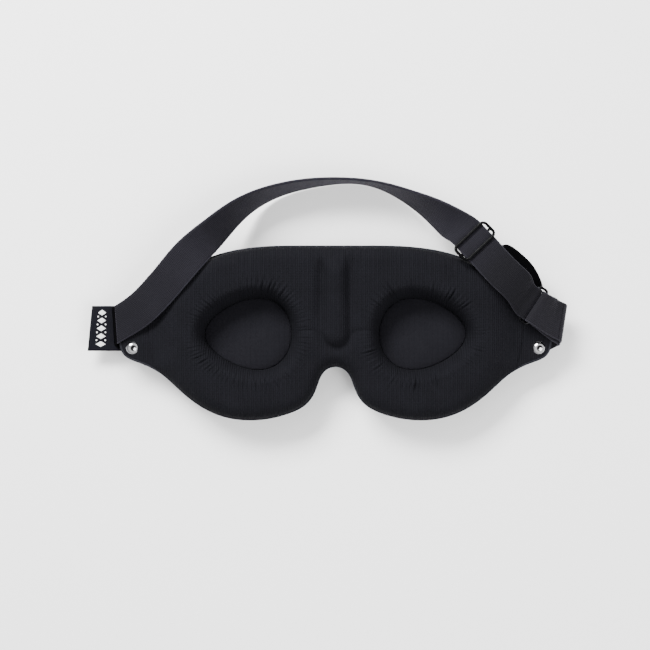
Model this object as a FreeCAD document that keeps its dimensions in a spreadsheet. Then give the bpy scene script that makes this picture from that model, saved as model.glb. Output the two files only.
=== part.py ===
import FreeCAD, Part
import math
import os

import Sketcher

from FreeCAD import Placement, Rotation, Vector

# A contoured sleep mask lying on its domed front, with its elastic strap folded over the
# forehead side.  Millimetres.  +X runs along the mask towards the adjuster ring, +Y towards
# the forehead edge, +Z towards the wearer's face.  Shapes are drawn about the nose line and
# the eye line, then every piece is moved so that the origin is the middle of the footprint.

DIMENSIONS = [
    ("origin_x", -4.8, "middle of the footprint, from the nose line"),
    ("origin_y", 19.2, "middle of the footprint, from the eye line"),
    ("fabric", 0.6, "thickness of the cover and lining fabrics"),
    ("tab_low", 9.4, "height of the cover's flange"),
    ("foam_low", 10.0, "underside of the foam shell's flange"),
    ("foam_high", 12.0, "top of the foam shell's flange"),
    ("pad_waist", 15.8, "height where the pad's rim is widest"),
    ("pad_high", 18.4, "top of the foam pad"),
    ("disc_low", 4.6, "floor of the eye cup under its disc"),
    ("disc_thick", 1.0, "thickness of an eye disc"),
    ("eye_x", 48.5, "eye centre from the nose line"),
    ("eye_half_length", 24.5, "half the length of an eye disc"),
    ("eye_half_height", 19.7, "half the height of an eye disc at its middle"),
    ("ridge_y", 9.5, "middle of the nose ridge"),
    ("ridge_half_length", 24.0, "half the length of the nose ridge"),
    ("ridge_half_width", 7.0, "half the width of the nose ridge"),
    ("ridge_rise", 2.4, "height of the nose ridge above the pad"),
    ("rivet_x", 112.3, "rivet from the nose line"),
    ("rivet_y", -7.6, "rivet below the eye line"),
    ("rivet_cap", 3.5, "radius of a rivet's cap"),
    ("rivet_dome", 1.6, "height of a rivet's cap"),
    ("rivet_post", 1.2, "radius of a rivet's post"),
    ("rivet_play", 0.1, "gap round a rivet's post"),
    ("washer", 3.0, "radius of a rivet's back"),
    ("washer_thick", 0.7, "thickness of a rivet's back"),
    ("strap_width", 19.0, "width of the elastic"),
    ("strap_thick", 1.4, "thickness of the elastic"),
    ("fold_width", 21.0, "width of the elastic along its folds, which cross it at a slant"),
    ("fold_left", -119.5, "middle of the left fold round the tab"),
    ("fold_right", 122.2, "middle of the right folds round the tab"),
    ("strap_gap", 0.1, "gap between strap layers, and from the tab"),
    ("label_height", 25.0, "height of the side label"),
    ("label_thick", 0.6, "thickness of the folded label"),
    ("label_y", 3.1, "middle of the label from the eye line"),
    ("label_free_end", -136.4, "free end of the label"),
    ("label_hinge", -123.3, "where the label starts to bend"),
    ("label_root_end", -107.5, "end of the label under the tab"),
    ("slider_wire", 0.8, "radius of the slider's wire"),
    ("slider_pitch", 4.9, "from the slider's middle bar to an outer bar"),
    ("slider_corner", 2.6, "bend radius at the slider's corners"),
    ("slider_opening", 20.6, "clear width inside the slider"),
    ("ring_wire", 0.7, "radius of the ring's wire"),
    ("ring_pitch", 5.6, "between the ring's two long bars"),
    ("ring_corner", 1.9, "bend radius at the ring's corners"),
    ("ring_opening", 20.0, "clear width inside the ring"),
    ("ring_play", 0.5, "gap between the ring's wire and a turn of strap"),
    ("sewn_length", 9.0, "length of the sewn end beyond the slider's middle bar"),
]

# Right half of the mask's outline, from the middle of the forehead edge round to the nose notch.
EDGE_ABOVE = [(0, 49), (17, 49), (34, 48.8), (50, 47.4), (66, 43.8), (80, 37.6), (95, 28)]
TAB_END = [(109, 18.2), (117, 13.2), (119.3, 8), (119.5, 0.5), (119.3, -6.5), (117, -11.6), (109, -15.8)]
EDGE_BELOW = [
    (96, -22.4),
    (85.7, -31.6),
    (74.5, -40.2),
    (62, -45.8),
    (48, -47.8),
    (34, -46.4),
    (24, -43.4),
    (17.5, -40),
    (12.6, -34.6),
    (9, -25.8),
    (5.5, -20.2),
    (0, -18.2),
]
# The pad stops short of the tab and ends in a flat curve.
PAD_END = [(101.5, 18), (103.5, 4), (101.5, -13)]
PAD_LENGTH = 103.5
# Distances in from the mask's outline.
SHELL_INSET = 0.4
LINING_INSET = 1.0
PAD_INSET = 1.4
CUP_REACH_INSET = 8.0
# How far the pad draws in at its waist and at its top, all round and then more at its two ends.
WAIST_INSET = (0.9, 5.0)
TOP_INSET = (4.5, 12.0)
END_POWER = 6
# How far the cup opens beyond the eye disc at the pad's waist and at its top.
WAIST_FLARE = 1.2
TOP_FLARE = 5.0
# Steps of the front dome: growth beyond the eye disc, and height above its lowest point.
DOME_FLAT = -10.0
DOME_SHOULDER = (-3.6, 1.1)
DOME_BELLY = 3.4
DOME_ROOT = 9.0
EGG_SKEW = 0.25
EGG_POINTS = 24
# Between an eye disc and the cup's wall.
DISC_GAP = 0.35

# Middle of the main strap from the left fold to the slider: x, y, z and tilt in degrees.  A tilt
# of 0 lies flat, and 90 stands on the inner edge with the outer edge up.
MAIN_STRAP = [
    (-119.5, 4.4, 13.4, 0),
    (-113.5, 8.1, 14.1, 0),
    (-107, 13.1, 16.3, 0),
    (-100, 20.3, 19.4, 0),
    (-92.2, 29.1, 20.9, 0),
    (-79.1, 44.4, 20.7, 8),
    (-67.2, 55.8, 18.2, 35),
    (-56, 66.3, 14.8, 53),
    (-44.1, 74.4, 11.6, 66),
    (-31.6, 79.6, 10.3, 74),
    (-16, 83.2, 10, 80),
    (0, 84.8, 10, 86),
    (16, 84.2, 10, 88),
    (29.2, 80.8, 10.2, 82),
    (41.9, 75, 11.3, 70),
    (54, 67.9, 13.8, 50),
    (64, 60.8, 16.6, 25),
]
SLIDER = Vector(76.3, 50.7, 19.9)
RUN_HEADING = -46.5
RUN_CLIMB = 11.5
RUN_BEFORE = 8.0
RUN_STRAIGHT = 30.0
# Middle of the lower strap layer between the slider and the ring.
RETURN_STRAP = [(89.2, 41, 18.5, 0), (97, 35.2, 18.9, -5), (102.2, 28.9, 17.9, -8), (104.5, 22.9, 16.6, -7)]
RING = Vector(108.6, 15.8, 18.0)
RING_HEADING = -33.0
RIGHT_FOLD_Y = 5.6
# How far each end of the elastic reaches back under its tab, and its slant in degrees.
END_REACH = 15.0
END_SLANT = 33.0

doc = FreeCAD.newDocument("SleepEyeMask")
sheet = doc.addObject("Spreadsheet::Sheet", "Dims")
for row, (alias, value, meaning) in enumerate(DIMENSIONS, start=1):
    sheet.set(f"A{row}", meaning)
    sheet.set(f"B{row}", str(value))
    sheet.setAlias(f"B{row}", alias)
doc.recompute()

nodes = []


def dim(alias):
    return float(sheet.get(alias))


def node(name, piece):
    """A finished sub-part, moved from the nose and eye lines to the footprint's middle."""
    finished = doc.addObject("Part::Compound", name)
    finished.Label = name
    finished.Links = [piece]
    finished.setExpression("Placement.Base.x", "-Dims.origin_x")
    finished.setExpression("Placement.Base.y", "-Dims.origin_y")
    nodes.append(finished)


def fuse(name, pieces):
    joined = doc.addObject("Part::MultiFuse", name)
    joined.Shapes = pieces
    joined.Refine = True
    return joined


def cut(name, base, tool):
    result = doc.addObject("Part::Cut", name)
    result.Base = base
    result.Tool = tool
    return result


# ---------------------------------------------------------------- outlines and soft solids


def mirrored(half):
    """Close a right half outline, drawn from top to bottom, with its mirror image."""
    return half + [(-x, y) for x, y in reversed(half[1:-1])]


def inset(points, rim, taper=0.0):
    """Move a clockwise outline inwards by rim, and by up to taper more towards its two ends."""
    moved = []
    count = len(points)
    for i, (x, y) in enumerate(points):
        before = points[i - 1]
        after = points[(i + 1) % count]
        along = Vector(after[0] - before[0], after[1] - before[1], 0).normalize()
        amount = rim + taper * (abs(x) / PAD_LENGTH) ** END_POWER
        moved.append((x + along.y * amount, y - along.x * amount))
    return moved


def egg(side, grow):
    """The outline of an eye disc, wide towards the nose, grown by a distance."""
    length = dim("eye_half_length") + grow
    height = dim("eye_half_height") + grow
    points = []
    for i in range(EGG_POINTS):
        turn = 2 * math.pi * i / EGG_POINTS
        widen = 1 + EGG_SKEW * math.cos(turn)
        x = side * (dim("eye_x") - length * math.cos(turn))
        points.append((x, height * math.sin(turn) * widen))
    return points


def outline_sketch(name, points, height):
    """A closed smooth curve through the points, at a height given as an expression."""
    curve = Part.BSplineCurve()
    curve.interpolate(Points=[Vector(x, y, 0) for x, y in points], PeriodicFlag=True)
    sketch = doc.addObject("Sketcher::SketchObject", name)
    sketch.addGeometry(curve, False)
    sketch.setExpression("Placement.Base.z", height)
    return sketch


def plate(name, points, low, thick):
    """A flat layer with a smooth outline."""
    layer = doc.addObject("Part::Extrusion", name)
    layer.Base = outline_sketch(name + "_outline", points, low)
    layer.DirMode = "Custom"
    layer.Dir = Vector(0, 0, 1)
    layer.Solid = True
    layer.setExpression("LengthFwd", thick)
    return layer


def soft_solid(name, sections):
    """A solid that passes smoothly through outlines at rising heights."""
    solid = doc.addObject("Part::Loft", name)
    solid.Sections = [
        outline_sketch(f"{name}_section_{i}", points, height) for i, (points, height) in enumerate(sections)
    ]
    solid.Solid = True
    solid.Ruled = False
    return solid


MASK_OUTLINE = mirrored(EDGE_ABOVE + TAB_END + EDGE_BELOW)
PAD_OUTLINE = inset(mirrored(EDGE_ABOVE + PAD_END + EDGE_BELOW), PAD_INSET)


def pad_solid(name, skin, top):
    """The pad's plump shape, or that shape grown by a skin."""
    sections = [
        (inset(PAD_OUTLINE, -skin), "Dims.foam_high"),
        (inset(PAD_OUTLINE, WAIST_INSET[0] - skin, WAIST_INSET[1]), "Dims.pad_waist"),
        (inset(PAD_OUTLINE, TOP_INSET[0] - skin, TOP_INSET[1]), top),
    ]
    return soft_solid(name, sections)


def cup_solid(name, side, skin):
    """The hollow over an eye: straight at the disc, flared where it opens to the face."""
    sections = [
        (egg(side, skin), "Dims.disc_low"),
        (egg(side, skin), "Dims.foam_low"),
        (egg(side, skin + WAIST_FLARE), "Dims.pad_waist"),
        (egg(side, skin + TOP_FLARE), "Dims.pad_high + 2 * Dims.fabric"),
    ]
    return soft_solid(name, sections)


def dome_solid(name, side, skin, low):
    """The bulge in front of an eye, with a small flat for the mask to stand on."""
    sections = [
        (egg(side, skin + DOME_FLAT), low),
        (egg(side, skin + DOME_SHOULDER[0]), f"{low} + {DOME_SHOULDER[1]}"),
        (egg(side, skin + DOME_BELLY), "Dims.disc_low"),
        (egg(side, skin + DOME_ROOT), "Dims.foam_low"),
    ]
    return soft_solid(name, sections)


def ridge_solid(name, skin):
    """Half an ellipsoid lying along the nose line, standing on the pad."""
    ridge = doc.addObject("Part::Ellipsoid", name)
    ridge.Angle1 = 0
    ridge.setExpression("Radius1", f"Dims.ridge_rise + {skin}")
    ridge.setExpression("Radius2", f"Dims.ridge_half_width + {skin}")
    ridge.setExpression("Radius3", f"Dims.ridge_half_length + {skin}")
    ridge.setExpression("Placement.Base.y", "Dims.ridge_y")
    ridge.setExpression("Placement.Base.z", "Dims.pad_high")
    return ridge


def upright(name, x, y, radius, low, height):
    """A cylinder standing at x, y, with its sizes as expressions."""
    post = doc.addObject("Part::Cylinder", name)
    post.setExpression("Radius", radius)
    post.setExpression("Height", height)
    post.setExpression("Placement.Base.x", x)
    post.setExpression("Placement.Base.y", y)
    post.setExpression("Placement.Base.z", low)
    return post


SIDES = {"left": -1, "right": 1}
BORE = "Dims.rivet_post + Dims.rivet_play"
# The bores run from the floor to the wearer's side of the lining.
BORE_TOP = "Dims.pad_high"
bores = {
    word: upright(f"{word}_rivet_bore", f"{side} * Dims.rivet_x", "Dims.rivet_y", BORE, "0", BORE_TOP)
    for word, side in SIDES.items()
}
both_bores = fuse("rivet_bores", list(bores.values()))

cups_outer = [cup_solid(f"{word}_cup_outer", side, dim("fabric")) for word, side in SIDES.items()]
cups_inner = [cup_solid(f"{word}_cup_inner", side, 0.0) for word, side in SIDES.items()]
cup_hollows = fuse("cup_hollows", cups_inner)
cup_walls = fuse("cup_walls", cups_outer)

# Front cover: the outer fabric, flat at the rim and domed in front of each eye.
domes = fuse("domes", [dome_solid(f"{word}_dome", side, 0.0, "Dims.fabric") for word, side in SIDES.items()])
cover_domes = [dome_solid(f"{word}_cover_dome", side, dim("fabric"), "0") for word, side in SIDES.items()]
cover_flange = plate("cover_flange", MASK_OUTLINE, "Dims.tab_low", "Dims.foam_low - Dims.tab_low")
cover_solid = fuse("cover_solid", [cover_flange] + cover_domes)
cover_skin = cut("cover_skin", cover_solid, domes)
node("front_cover", cut("cover_bored", cover_skin, both_bores))

# Foam shell: one sheet from tab to tab, moulded into a cup at each eye.
SHELL_HEIGHT = "Dims.foam_high - Dims.foam_low"
shell_flange = plate("shell_flange", inset(MASK_OUTLINE, SHELL_INSET), "Dims.foam_low", SHELL_HEIGHT)
shell_solid = fuse("shell_solid", [shell_flange, domes])
shell_cups = cut("shell_cups", shell_solid, cup_walls)
node("front_shell_foam", cut("shell_bored", shell_cups, both_bores))

# Pad: the thick soft foam round the eyes.
pad_blank = pad_solid("pad_blank", 0.0, "Dims.pad_high")
pad = cut("pad_holed", pad_blank, cup_walls)
node("foam_pad", pad)

# Nose ridge: a soft bead under the lining.
ridge = ridge_solid("ridge", 0.0)
node("nose_ridge_foam", ridge)

# Face lining: over the pad and the tabs, and down the cups' walls.
lining_pad = pad_solid("lining_pad", dim("fabric"), "Dims.pad_high + Dims.fabric")
lining_tabs = plate("lining_tabs", inset(MASK_OUTLINE, LINING_INSET), "Dims.foam_high", "Dims.fabric")
lining_ridge = ridge_solid("lining_ridge", dim("fabric"))
CUP_HEIGHT = "Dims.pad_high + Dims.fabric - Dims.disc_low"
cup_reach = plate("cup_reach", inset(MASK_OUTLINE, CUP_REACH_INSET), "Dims.disc_low", CUP_HEIGHT)
cup_sleeves = doc.addObject("Part::MultiCommon", "cup_sleeves")
cup_sleeves.Shapes = [cup_walls, cup_reach]
lining_solid = fuse("lining_solid", [lining_pad, lining_tabs, lining_ridge, cup_sleeves])
lining_filling = fuse("lining_filling", [pad, ridge])
lining_skin = cut("lining_skin", lining_solid, lining_filling)
lining_open = cut("lining_open", lining_skin, cup_hollows)
node("face_lining", cut("lining_bored", lining_open, both_bores))

# Eye discs: the flat floors of the cups.
for word, side in SIDES.items():
    disc = plate(f"{word}_disc", egg(side, -DISC_GAP), "Dims.disc_low", "Dims.disc_thick")
    node(f"{word}_eye_disc", disc)


# ---------------------------------------------------------------- rivets and label


def polygon_prism(name, corners, low, thick):
    """A body padded from a straight-sided outline."""
    body = doc.addObject("PartDesign::Body", name)
    floor = [f for f in body.Origin.OriginFeatures if f.Role == "XY_Plane"][0]
    sketch = body.newObject("Sketcher::SketchObject", name + "_outline")
    sketch.AttachmentSupport = [(floor, "")]
    sketch.MapMode = "FlatFace"
    sketch.setExpression("AttachmentOffset.Base.z", low)
    for (x1, y1), (x2, y2) in zip(corners, corners[1:] + corners[:1]):
        sketch.addGeometry(Part.LineSegment(Vector(x1, y1, 0), Vector(x2, y2, 0)), False)
    for i in range(len(corners)):
        sketch.addConstraint(Sketcher.Constraint("Coincident", i, 2, (i + 1) % len(corners), 1))
    pad_feature = body.newObject("PartDesign::Pad", name + "_pad")
    pad_feature.Profile = sketch
    pad_feature.setExpression("Length", thick)
    return body


def rivet_cap(name, side):
    """A domed cap: the top of a sphere that its radius and rise give."""
    radius = dim("rivet_cap")
    rise = dim("rivet_dome")
    bend = (radius**2 + rise**2) / (2 * rise)
    dome = doc.addObject("Part::Sphere", name)
    dome.Angle1 = math.degrees(math.asin(1 - rise / bend))
    bend_rule = "(Dims.rivet_cap ^ 2 + Dims.rivet_dome ^ 2) / (2 * Dims.rivet_dome)"
    dome.setExpression("Radius", bend_rule)
    dome.setExpression("Placement.Base.x", f"{side} * Dims.rivet_x")
    dome.setExpression("Placement.Base.y", "Dims.rivet_y")
    dome.setExpression("Placement.Base.z", f"Dims.foam_high + Dims.fabric + Dims.rivet_dome - {bend_rule}")
    return dome


# Height of the rivet's back: under one layer of elastic and the label at the left, and under two
# layers of elastic at the right.
LAYER = "Dims.strap_thick + Dims.strap_gap"
BACK = {"left": f"Dims.tab_low - ({LAYER}) - Dims.label_thick", "right": f"Dims.tab_low - 2 * ({LAYER})"}
for word, side in SIDES.items():
    node(f"{word}_rivet_cap", rivet_cap(f"{word}_cap", side))
    back = BACK[word]
    place = (f"{side} * Dims.rivet_x", "Dims.rivet_y")
    post = upright(f"{word}_post", *place, "Dims.rivet_post", back, f"Dims.foam_high + Dims.fabric - ({back})")
    node(f"{word}_rivet_post", post)
    washer = upright(f"{word}_washer", *place, "Dims.washer", f"{back} - Dims.washer_thick", "Dims.washer_thick")
    node(f"{word}_rivet_back", washer)


def label_part(name, start, end):
    """A stretch of the label between two distances from the nose line."""
    low_y = dim("label_y") - dim("label_height") / 2
    high_y = dim("label_y") + dim("label_height") / 2
    corners = [(start, low_y), (end, low_y), (end, high_y), (start, high_y)]
    return polygon_prism(name, corners, BACK["left"], "Dims.label_thick")


# The flap and its root stop this far short of the line that the flap bends on.
LABEL_SLIT = 0.35
label_flap = label_part("label_flap", dim("label_free_end"), dim("label_hinge") - LABEL_SLIT)
node("side_label", label_flap)
label_root = label_part("label_tongue", dim("label_hinge") + LABEL_SLIT, dim("label_root_end"))
node("label_root", cut("label_root_bored", label_root, bores["left"]))

# ---------------------------------------------------------------- elastic

WIDTH = "Dims.strap_width"


def turn_of_strap(name, centre, across, outwards, radius, width=WIDTH):
    """Half a turn of strap round an axis, bulging outwards; radius is that of its middle layer."""
    along = Vector(outwards).normalize()
    axis = Vector(across).normalize()
    frame = Rotation(along.cross(axis), along, axis)
    halves = {}
    for part, half_thick in (("outer", "+ Dims.strap_thick / 2"), ("inner", "- Dims.strap_thick / 2")):
        round_part = doc.addObject("Part::Cylinder", f"{name}_{part}")
        round_part.Angle = 180
        round_part.setExpression("Radius", f"{radius} {half_thick}")
        round_part.setExpression("Height", width)
        round_part.Placement = Placement(centre - axis * (sheet_value(width) / 2), frame)
        halves[part] = round_part
    halves["inner"].Angle = 360
    return cut(name, halves["outer"], halves["inner"])


def sheet_value(expression):
    return dim(expression.removeprefix("Dims."))


def strap_run(name, stations, first=None, last=None, first_width=WIDTH, last_width=WIDTH, ruled=False):
    """A stretch of strap through stations (x, y, z, tilt).  first and last are the directions that
    the strap's end faces look along, where they aren't those of the strap itself."""
    middles = [Vector(*station[:3]) for station in stations]
    sections = []
    final = len(stations) - 1
    for i, station in enumerate(stations):
        along = middles[min(i + 1, final)] - middles[max(i - 1, 0)]
        width = WIDTH
        if i == 0:
            along = first or along
            width = first_width
        if i == final:
            along = last or along
            width = last_width
        along = Vector(along).normalize()
        level = Vector(0, 0, 1).cross(along).normalize()
        tilt = math.radians(station[3])
        rising = along.cross(level)
        across = level * math.cos(tilt) + rising * math.sin(tilt)
        upwards = along.cross(across)
        corner = middles[i] - across * (sheet_value(width) / 2) - upwards * (dim("strap_thick") / 2)
        section = doc.addObject("Part::Plane", f"{name}_section_{i}")
        section.setExpression("Length", width)
        section.setExpression("Width", "Dims.strap_thick")
        section.Placement = Placement(corner, Rotation(across, upwards, along))
        sections.append(section)
    run = doc.addObject("Part::Loft", name)
    run.Sections = sections
    run.Solid = True
    run.Ruled = ruled
    return run


def station(point, tilt=0):
    return (point.x, point.y, point.z, tilt)


def flat_direction(heading):
    """A level direction, with heading in degrees from +X."""
    return Vector(math.cos(math.radians(heading)), math.sin(math.radians(heading)), 0)


# Heights of the elastic's middle layer above and below the tab.
strap_half = dim("strap_thick") / 2
above_tab = dim("foam_high") + dim("fabric") + dim("strap_gap") + strap_half
below_tab = dim("tab_low") - dim("strap_gap") - strap_half
layer = dim("strap_thick") + dim("strap_gap")
ACROSS = Vector(0, 1, 0)

# Left end of the elastic: round the tab's end and slanting under the tab to its rivet.
left_fold_y = MAIN_STRAP[0][1]
left_turn = turn_of_strap(
    "left_turn",
    Vector(dim("fold_left"), left_fold_y, (above_tab + below_tab) / 2),
    ACROSS,
    Vector(-1, 0, 0),
    f"{(above_tab - below_tab) / 2}",
    "Dims.fold_width",
)


def strap_end(name, fold_x, fold_y, inward, level):
    """The flat end of the elastic under a tab, slanting from its fold down towards the rivet."""
    half = dim("fold_width") / 2
    reach = fold_x + inward * END_REACH
    drop = END_REACH * math.tan(math.radians(END_SLANT))
    corners = [
        (fold_x, fold_y - half),
        (reach, fold_y - half - drop),
        (reach, fold_y + half - drop),
        (fold_x, fold_y + half),
    ]
    if inward < 0:
        corners.reverse()
    return polygon_prism(name, corners, f"{level} - Dims.strap_thick / 2", "Dims.strap_thick")


left_end = strap_end("left_end", dim("fold_left"), left_fold_y, 1, below_tab)
left_wrap = fuse("left_wrap", [left_turn, left_end])
node("left_strap_end", cut("left_wrap_bored", left_wrap, bores["left"]))

# Main strap: from the left fold, over the pad, on edge behind the mask, to the slider.
run_direction = flat_direction(RUN_HEADING) * math.cos(math.radians(RUN_CLIMB))
run_direction.z = math.sin(math.radians(RUN_CLIMB))
run_start = SLIDER - run_direction * RUN_BEFORE
main_strap = strap_run(
    "main_run", MAIN_STRAP + [station(run_start)], Vector(1, 0, 0), run_direction, first_width="Dims.fold_width"
)
node("main_strap", main_strap)

# Upper layer: through the slider, straight over the pad's corner and round the ring.
ring_direction = flat_direction(RING_HEADING)
ring_axis = Vector(0, 0, 1).cross(ring_direction)
strap_bar = RING - ring_direction * (dim("ring_pitch") / 2)
short_bar = RING + ring_direction * (dim("ring_pitch") / 2)
turn_radius = dim("ring_wire") + dim("ring_play") + strap_half
TURN = "Dims.ring_wire + Dims.ring_play + Dims.strap_thick / 2"
lift = Vector(0, 0, turn_radius)
run_stop = SLIDER + run_direction * RUN_STRAIGHT
# The elastic arches a little between its straight stretch and the ring.
ARCH = Vector(0.6, 0.8, 1.2)
half_way = (run_stop + strap_bar + lift) * 0.5 + ARCH
straight_run = strap_run("straight_run", [station(run_start), station(run_stop)], run_direction, run_direction)
bent_run = strap_run(
    "bent_run",
    [station(run_stop), station(half_way), station(strap_bar + lift)],
    run_direction,
    ring_direction,
)
ring_turn = turn_of_strap("ring_turn", strap_bar, ring_axis, ring_direction, TURN)
node("adjuster_strap", straight_run)
node("ring_end_strap", fuse("ring_end", [bent_run, ring_turn]))

# The slider's middle bar lies under the upper layer, with the sewn end of the elastic round it.
run_across = Vector(0, 0, 1).cross(run_direction).normalize()
run_up = run_direction.cross(run_across)
wire = dim("slider_wire")
SLIDER_PLAY = 0.15
bar_rise = strap_half + SLIDER_PLAY + wire
bar_drop = bar_rise + dim("strap_thick") + 2 * dim("strap_gap")
sewn_radius = wire + dim("strap_gap") + strap_half
middle_bar = SLIDER - run_up * bar_drop
sewn_turn = turn_of_strap(
    "sewn_turn", middle_bar, run_across, -run_direction, "Dims.slider_wire + Dims.strap_gap + Dims.strap_thick / 2"
)
sewn_reach = run_direction * dim("sewn_length")
lower_end = middle_bar - run_up * sewn_radius + sewn_reach
sewn_lower = strap_run(
    "sewn_lower",
    [station(middle_bar - run_up * sewn_radius), station(lower_end)],
    run_direction,
    run_direction,
    ruled=True,
)
tail_end = lower_end + run_up * (dim("strap_thick") + 2 * dim("strap_gap")) - run_direction
# The tail comes down off the bar a third of the way along the sewn end.
TAIL_DIP = 0.75
TAIL_DIP_PLACE = 0.35
sewn_tail = strap_run(
    "sewn_tail",
    [
        station(middle_bar + run_up * sewn_radius),
        station(middle_bar + run_up * sewn_radius * TAIL_DIP + sewn_reach * TAIL_DIP_PLACE),
        station(tail_end),
    ],
    run_direction,
    run_direction,
    ruled=True,
)
node("strap_sewn_end", fuse("sewn_end", [sewn_turn, sewn_lower, sewn_tail]))

# Lower layer: from the sewn end back under the upper layer to the ring.
strap_return = strap_run(
    "return_run",
    [station(lower_end)] + RETURN_STRAP + [station(strap_bar - lift)],
    run_direction,
    ring_direction,
)
node("strap_return", strap_return)

# Short strap: doubled from the ring to the right tab, and both ends folded under the tab.
outer_above = above_tab + layer
outer_below = below_tab - layer
fold_x = dim("fold_right")
fold_middle = (above_tab + below_tab) / 2
short_turn = turn_of_strap("short_turn", short_bar, ring_axis, -ring_direction, TURN)
# Where the short strap's middle section stands between the ring and the fold.
SHORT_SHARE = 0.45
short_layers = []
for word, start, fold_level in (("upper", short_bar + lift, outer_above), ("lower", short_bar - lift, above_tab)):
    fold_point = Vector(fold_x, RIGHT_FOLD_Y, fold_level)
    middle = start * (1 - SHORT_SHARE) + fold_point * SHORT_SHARE
    short_layers.append(
        strap_run(
            f"short_{word}",
            [station(start), station(middle), station(fold_point)],
            ring_direction,
            Vector(1, 0, 0),
            last_width="Dims.fold_width",
            ruled=True,
        )
    )
node("short_strap", fuse("short_strap_loop", [short_turn] + short_layers))
for word, high, low in (("inner", above_tab, below_tab), ("outer", outer_above, outer_below)):
    turn = turn_of_strap(
        f"right_{word}_turn",
        Vector(fold_x, RIGHT_FOLD_Y, (high + low) / 2),
        ACROSS,
        Vector(1, 0, 0),
        f"{(high - low) / 2}",
        "Dims.fold_width",
    )
    end = strap_end(f"right_{word}_end", fold_x, RIGHT_FOLD_Y, -1, low)
    wrap = fuse(f"right_{word}_wrap", [turn, end])
    node(f"right_strap_end_{word}", cut(f"right_{word}_bored", wrap, bores["right"]))


# ---------------------------------------------------------------- slider and ring


def wire_bar(name, start, stop, radius):
    """A straight round bar between two points."""
    bar = doc.addObject("Part::Cylinder", name)
    bar.setExpression("Radius", radius)
    bar.Height = (stop - start).Length
    bar.Placement = Placement(start, Rotation(Vector(0, 0, 1), stop - start))
    return bar


def wire_corner(name, middle, first, second, bend, radius):
    """A quarter bend that starts towards first and ends towards second."""
    corner = doc.addObject("Part::Torus", name)
    corner.Angle3 = 90
    corner.setExpression("Radius1", bend)
    corner.setExpression("Radius2", radius)
    corner.Placement = Placement(middle, Rotation(first, second, first.cross(second)))
    return corner


def wire_loop(name, middle, along, across, half_along, half_across, bend, radius):
    """A closed loop of round wire, rounded at its four corners."""
    curve = dim(bend.removeprefix("Dims."))
    pieces = []
    for i, (a, b) in enumerate(((1, 1), (-1, 1), (-1, -1), (1, -1))):
        centre = middle + along * (a * (half_along - curve)) + across * (b * (half_across - curve))
        towards = [along * a, across * b]
        if a * b < 0:
            towards.reverse()
        pieces.append(wire_corner(f"{name}_corner_{i}", centre, *towards, bend, radius))
    for sign, word in ((1, "far"), (-1, "near")):
        offset = along * (sign * half_along)
        span = across * (half_across - curve)
        pieces.append(wire_bar(f"{name}_{word}_bar", middle + offset - span, middle + offset + span, radius))
        offset = across * (sign * half_across)
        span = along * (half_along - curve)
        pieces.append(wire_bar(f"{name}_{word}_side", middle + offset - span, middle + offset + span, radius))
    return pieces


slider_half = dim("slider_opening") / 2 + wire
slider_top = SLIDER + run_up * bar_rise
slider_pieces = wire_loop(
    "slider_loop",
    slider_top,
    run_direction,
    run_across,
    dim("slider_pitch"),
    slider_half,
    "Dims.slider_corner",
    "Dims.slider_wire",
)
for sign, word in ((1, "far"), (-1, "near")):
    end = run_across * (sign * slider_half)
    slider_pieces.append(wire_bar(f"slider_{word}_leg", slider_top + end, middle_bar + end, "Dims.slider_wire"))
    knuckle = doc.addObject("Part::Sphere", f"slider_{word}_knuckle")
    knuckle.setExpression("Radius", "Dims.slider_wire")
    knuckle.Placement.Base = middle_bar + end
    slider_pieces.append(knuckle)
slider_span = run_across * slider_half
slider_pieces.append(
    wire_bar("slider_middle_bar", middle_bar - slider_span, middle_bar + slider_span, "Dims.slider_wire")
)
node("slider_frame", fuse("slider_wires", slider_pieces))

ring_half = dim("ring_opening") / 2 + dim("ring_wire")
ring_pieces = wire_loop(
    "ring_loop",
    RING,
    ring_direction,
    ring_axis,
    dim("ring_pitch") / 2,
    ring_half,
    "Dims.ring_corner",
    "Dims.ring_wire",
)
node("ring_frame", fuse("ring_wires", ring_pieces))

# ---------------------------------------------------------------- check and write

doc.recompute()
for piece in doc.Objects:
    if "Invalid" in piece.State or "Error" in piece.State:
        raise RuntimeError(f"{piece.Name} failed to build: {piece.State}")

os.makedirs("parts", exist_ok=True)
for piece in nodes:
    shape = piece.Shape
    if shape.isNull() or not shape.isValid() or not shape.Solids:
        raise RuntimeError(f"{piece.Label} has no valid solid")
    shape.exportStep(os.path.join("parts", piece.Label + ".step"))
    print(f"{piece.Label}: {len(shape.Solids)} solid, {shape.Volume:.1f} mm3")
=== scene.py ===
import math

import bpy
import numpy as np
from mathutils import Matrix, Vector
from mathutils.geometry import delaunay_2d_cdt


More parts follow.
